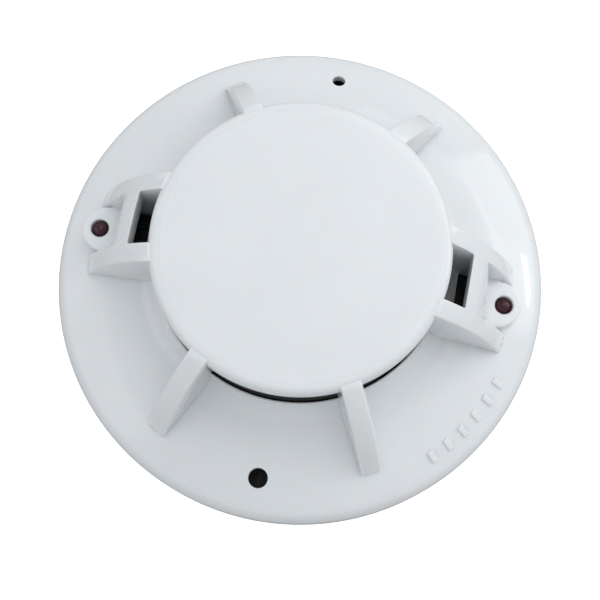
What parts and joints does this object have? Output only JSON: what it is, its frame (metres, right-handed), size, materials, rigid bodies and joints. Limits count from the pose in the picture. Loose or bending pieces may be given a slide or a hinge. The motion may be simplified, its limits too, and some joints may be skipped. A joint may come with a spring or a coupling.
{
  "type": "heat detector",
  "caption": "Round white ceiling heat detector: finned dome over a black sensing cage, dark-red alarm lamps, twist-off head on a shallow terminal base.",
  "frame": {"origin": "centre of the mounting base's ceiling face", "axes": "+Z from the ceiling into the room along the axis of the dome, +X towards one alarm lamp, +Y towards the smaller tool hole in the cover"},
  "size_m": [0.1, 0.1, 0.036],
  "materials": {
    "white_plastic": "glossy moulded ABS, slightly cool white",
    "back_plastic": "satin moulded ABS, a shade greyer",
    "black_plastic": "matt black moulded cage and housing",
    "screen_mesh": "fine woven stainless screen",
    "lamp_red": "clear dark-red epoxy, unlit",
    "board_laminate": "green solder resist",
    "tinned_metal": "tin plated",
    "zinc_steel": "zinc plated steel",
    "brass_plate": "rolled brass",
    "black_epoxy": "moulded black epoxy",
    "sensor_bead": "dipped brown epoxy bead",
    "capacitor_sleeve": "shrunk sleeve",
    "glass_tube": "clear greenish glass",
    "rubber_seal": "soft dark rubber"
  },
  "bodies": {
    "base": {"mounting_base": "back_plastic", "cable_grommet": "rubber_seal", "terminal_plate_1": "brass_plate", "terminal_plate_2": "brass_plate", "terminal_plate_3": "brass_plate", "terminal_plate_4": "brass_plate"},
    "head": {"front_cover": "white_plastic", "lamp_holder_left": "back_plastic", "lamp_holder_right": "back_plastic", "thermistor_post": "back_plastic", "rear_housing": "black_plastic", "sensor_cage": "black_plastic", "slot_shield_left": "black_plastic", "slot_shield_right": "black_plastic", "insect_screen": "screen_mesh", "alarm_lamp_left": "lamp_red", "alarm_lamp_right": "lamp_red", "circuit_board": "board_laminate", "lamp_lead_left_1": "tinned_metal", "lamp_lead_left_2": "tinned_metal", "lamp_lead_right_1": "tinned_metal", "lamp_lead_right_2": "tinned_metal", "thermistor_lead_1": "tinned_metal", "thermistor_lead_2": "tinned_metal", "contact_blade_1": "tinned_metal", "contact_blade_2": "tinned_metal", "contact_blade_3": "tinned_metal", "contact_blade_4": "tinned_metal", "blade_rivet_1": "tinned_metal", "blade_rivet_2": "tinned_metal", "blade_rivet_3": "tinned_metal", "blade_rivet_4": "tinned_metal", "case_screw_1": "zinc_steel", "case_screw_2": "zinc_steel", "case_screw_3": "zinc_steel", "controller_chip": "black_epoxy", "latch_transistor": "black_epoxy", "bridge_rectifier": "black_epoxy", "surge_diode": "black_epoxy", "sensing_thermistor": "sensor_bead", "reference_thermistor": "sensor_bead", "smoothing_capacitor": "capacitor_sleeve", "timing_capacitor": "capacitor_sleeve", "reed_switch": "glass_tube", "dust_seal": "rubber_seal"},
    "terminal_clamp_1": {"clamp_washer_1": "zinc_steel", "terminal_screw_1": "zinc_steel"},
    "terminal_clamp_2": {"clamp_washer_2": "zinc_steel", "terminal_screw_2": "zinc_steel"},
    "terminal_clamp_3": {"clamp_washer_3": "zinc_steel", "terminal_screw_3": "zinc_steel"},
    "terminal_clamp_4": {"clamp_washer_4": "zinc_steel", "terminal_screw_4": "zinc_steel"}
  },
  "joints": [
    {"name": "head_twist", "type": "hinge", "parent": "base", "child": "head", "pos_m": [0, 0, 0], "axis": [0, 0, 1], "range_deg": [0, 20]},
    {"name": "terminal_screw_1_lift", "type": "slide", "parent": "base", "child": "terminal_clamp_1", "axis": [0, 0, 1], "range_m": [0, 0.001]},
    {"name": "terminal_screw_2_lift", "type": "slide", "parent": "base", "child": "terminal_clamp_2", "axis": [0, 0, 1], "range_m": [0, 0.001]},
    {"name": "terminal_screw_3_lift", "type": "slide", "parent": "base", "child": "terminal_clamp_3", "axis": [0, 0, 1], "range_m": [0, 0.001]},
    {"name": "terminal_screw_4_lift", "type": "slide", "parent": "base", "child": "terminal_clamp_4", "axis": [0, 0, 1], "range_m": [0, 0.001]}
  ]
}
